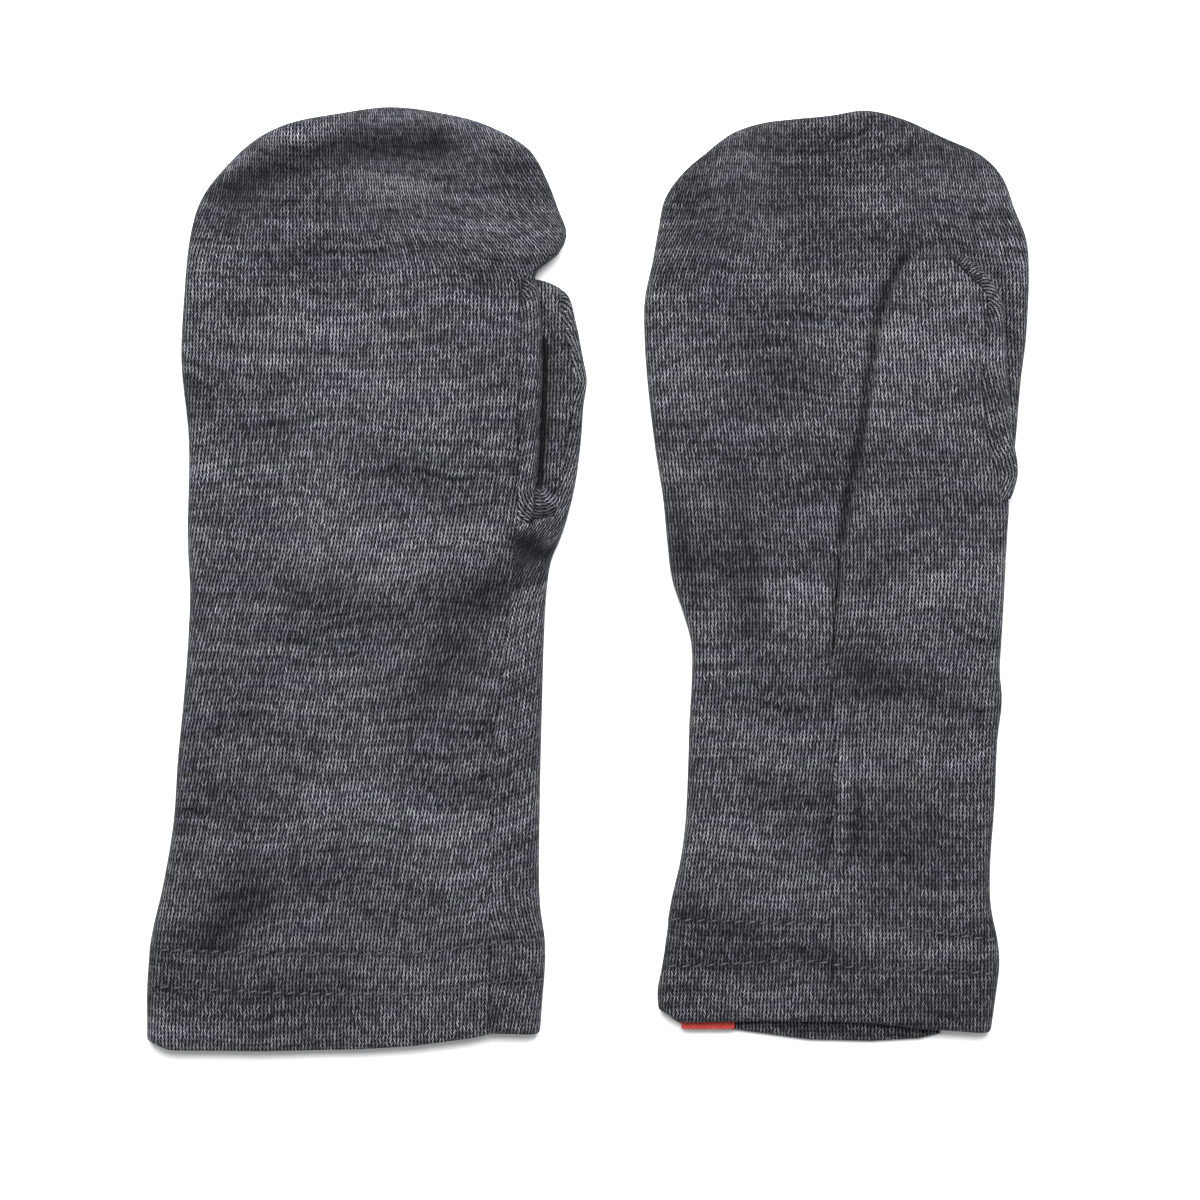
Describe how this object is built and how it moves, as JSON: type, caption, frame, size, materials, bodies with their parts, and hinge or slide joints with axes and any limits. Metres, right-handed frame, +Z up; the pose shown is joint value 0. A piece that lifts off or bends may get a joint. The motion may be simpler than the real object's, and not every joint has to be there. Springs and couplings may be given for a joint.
{
  "type": "pair of baby mittens",
  "caption": "Pair of long-cuffed grey wool jersey baby mittens with rounded tips and separate thumbs, laid flat side by side.",
  "frame": {"origin": "under the middle of the pair's bounding box, on the surface that the mittens lie on", "axes": "+Y from the cuffs to the fingertips, +X from the little-finger edge of the left mitten to the right mitten's thumb edge, +Z up from the surface"},
  "size_m": [0.154, 0.1646, 0.0077],
  "materials": {
    "jersey": "soft melange wool jersey, matt",
    "tab": "woven tape, matt"
  },
  "bodies": {
    "root": {"left_back": "jersey", "left_palm": "jersey", "left_thumb_side": "jersey", "left_thumb_inner": "jersey", "right_back": "jersey", "right_palm": "jersey", "right_thumb_side": "jersey", "right_thumb_inner": "jersey", "right_tab": "tab"}
  },
  "joints": []
}
